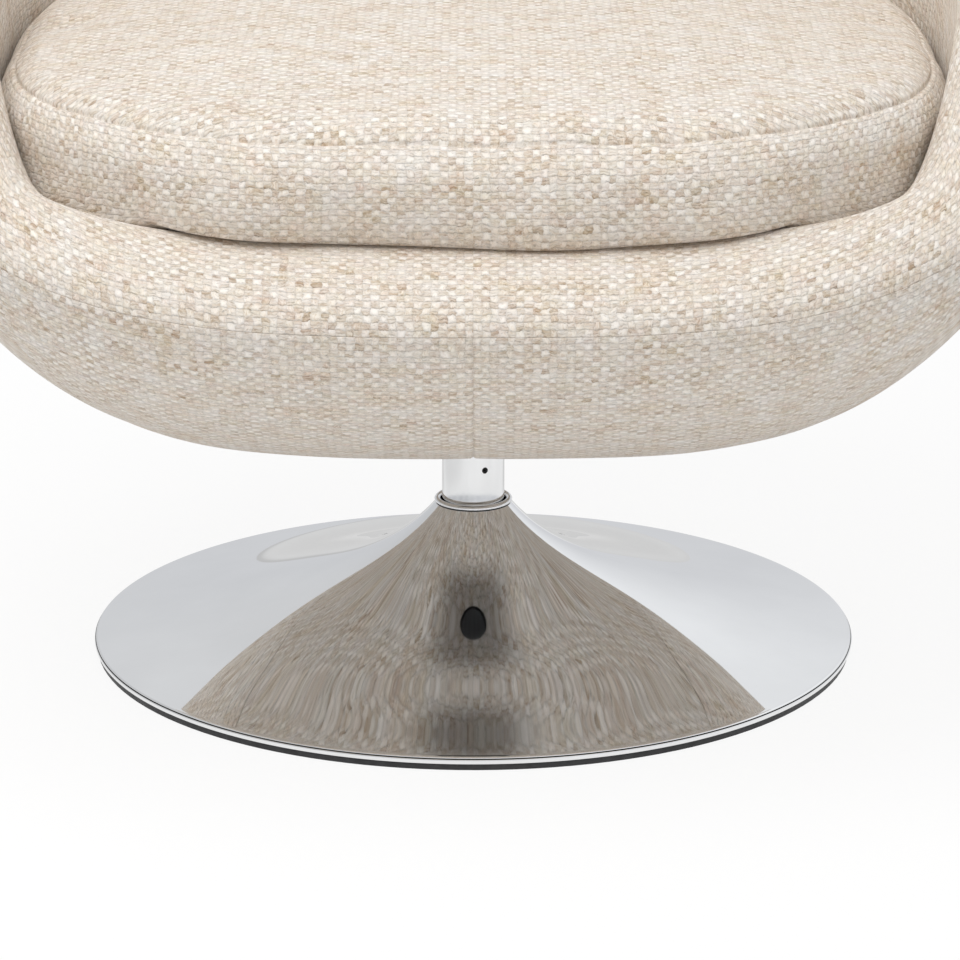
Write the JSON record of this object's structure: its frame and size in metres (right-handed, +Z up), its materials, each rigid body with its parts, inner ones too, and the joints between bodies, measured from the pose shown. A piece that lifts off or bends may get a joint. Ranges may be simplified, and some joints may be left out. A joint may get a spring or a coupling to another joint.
{
  "type": "swivel armchair",
  "caption": "Upholstered tub armchair with a loose seat cushion that turns on a slim bright column over a chromed trumpet base.",
  "frame": {"origin": "on the floor, on the swivel axis, at the middle of the base", "axes": "+Z up the swivel axis, -Y towards the front of the seat, +X to the right seen from the front"},
  "size_m": [0.772, 0.772, 0.7994],
  "materials": {
    "rubber_black": "matte",
    "steel_dark": "matt primer",
    "bolt_steel": "zinc plated",
    "bush_bronze": "sintered bronze",
    "chrome_cover": "polished",
    "chrome_trim": "polished",
    "satin_sleeve": "satin chrome",
    "plastic_black": "moulded",
    "screw_black": "black oxide",
    "bearing_steel": "ground",
    "cage_brass": "pressed",
    "enamel_black": "satin enamel",
    "plywood": "sanded",
    "beech": "planed",
    "screw_yellow": "yellow zinc",
    "spring_wire": "drawn",
    "felt": "needled felt",
    "weave_inside": "basket weave over foam",
    "weave_outside": "basket weave over foam",
    "weave_cushion": "basket weave over foam",
    "weave_under": "basket weave"
  },
  "bodies": {
    "base": {"floor_ring": "rubber_black", "ballast_plate": "steel_dark", "column_foot": "steel_dark", "foot_bolts": "bolt_steel", "column_tube": "steel_dark", "lower_bush": "bush_bronze", "upper_bush": "bush_bronze", "base_cover": "chrome_cover", "collar_ring": "chrome_trim", "collar_liner": "plastic_black", "column_sleeve": "satin_sleeve", "sleeve_spacer": "plastic_black", "sleeve_screw": "screw_black", "lower_race": "bearing_steel"},
    "seat": {"upper_race": "bearing_steel", "spindle": "bearing_steel", "spindle_washer": "bolt_steel", "retaining_ring": "screw_black", "plate_hub": "enamel_black", "seat_plate": "enamel_black", "seat_bolts": "screw_black", "bolt_washers": "bolt_steel", "tee_nuts": "bolt_steel", "seat_board": "plywood", "tub_core": "plywood", "core_screws": "screw_yellow", "bearers": "beech", "bearer_screws": "screw_yellow", "spring_frame": "plywood", "seat_springs": "spring_wire", "spring_clips": "spring_wire", "clip_nails": "bolt_steel", "deck_pad": "felt", "inside_pad": "weave_inside", "outside_cover": "weave_outside", "seat_cushion": "weave_cushion", "under_panel": "weave_under"},
    "cage": {"bearing_balls": "bearing_steel", "ball_cage": "cage_brass"}
  },
  "joints": [
    {"name": "swivel", "type": "hinge", "parent": "base", "child": "seat", "pos_m": [0, 0, 0.157], "axis": [0, 0, 1], "continuous": true},
    {"name": "cage_turn", "type": "hinge", "parent": "base", "child": "cage", "pos_m": [0, 0, 0.157], "axis": [0, 0, 1], "continuous": true}
  ],
  "couplings": [
    {"joint": "cage_turn", "follows": "swivel", "ratio": 0.5}
  ]
}
